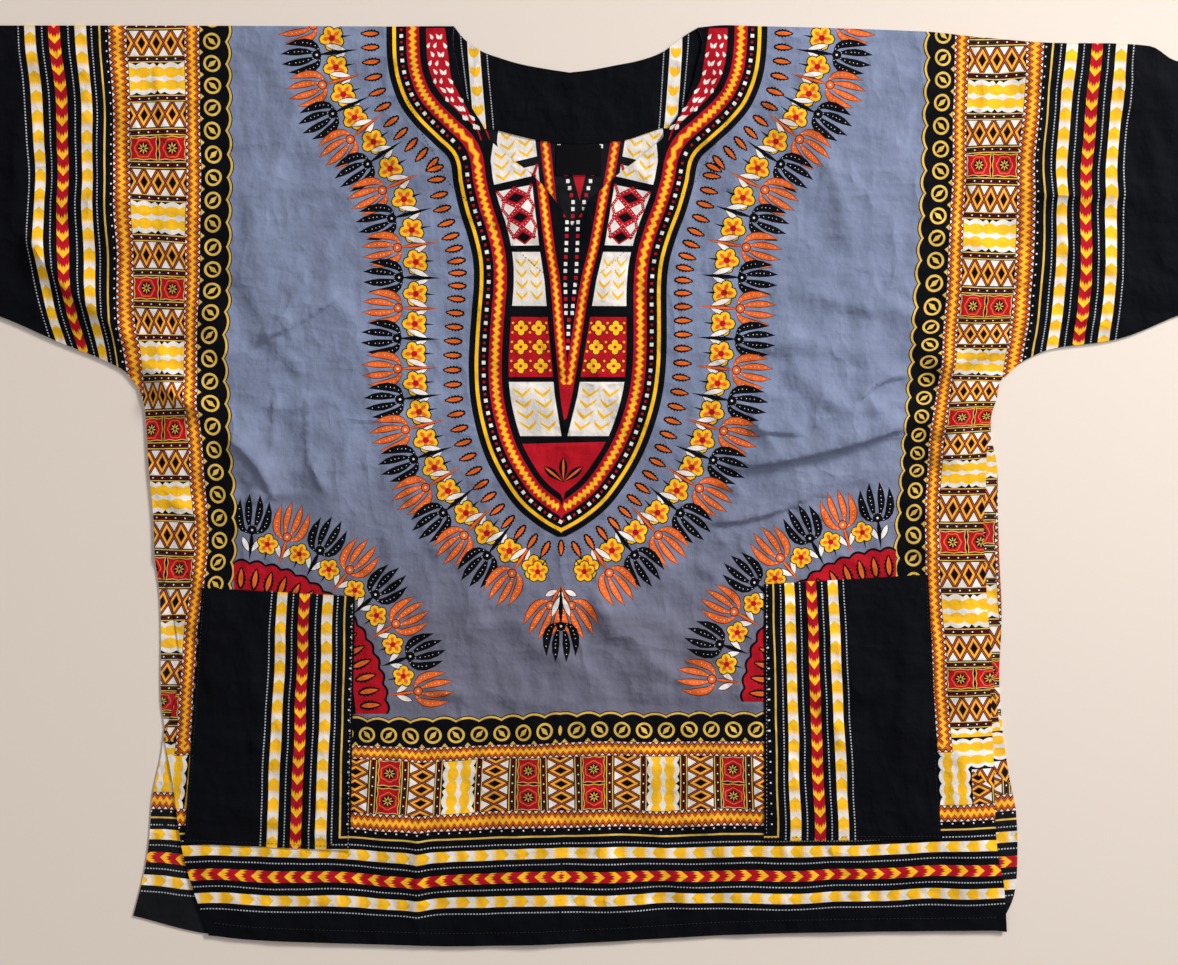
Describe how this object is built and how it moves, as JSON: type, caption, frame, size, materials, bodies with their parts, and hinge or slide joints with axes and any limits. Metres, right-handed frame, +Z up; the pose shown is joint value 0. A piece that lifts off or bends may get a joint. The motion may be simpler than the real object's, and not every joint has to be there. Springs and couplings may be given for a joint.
{
  "type": "dashiki shirt laid flat",
  "caption": "Loose printed cotton shirt with sleeves cut in one, slit neck and patch pockets, laid flat with its front up.",
  "frame": {"origin": "on the resting surface, under the middle of the garment as it lies", "axes": "+X from the left-hand cuff to the right-hand cuff as seen from above, +Y from hem to shoulder, +Z up, out of the front"},
  "size_m": [1.15, 0.7651, 0.0156],
  "materials": {
    "printed_cotton": "plain-woven cotton, matt, wax-style print: blue-grey ground, black, gold, orange, red and white borders",
    "pocket_cotton": "the same cotton from its black border, with gold, white and red stripes",
    "black_cotton": "the same cotton, plain near-black, softly creased",
    "label_satin": "narrow woven satin tape, plain black, slight sheen"
  },
  "bodies": {
    "root": {"front_panel": "printed_cotton", "back_panel": "printed_cotton", "pocket_left": "pocket_cotton", "pocket_right": "pocket_cotton", "neck_facing": "black_cotton", "neck_label": "label_satin"}
  },
  "joints": []
}
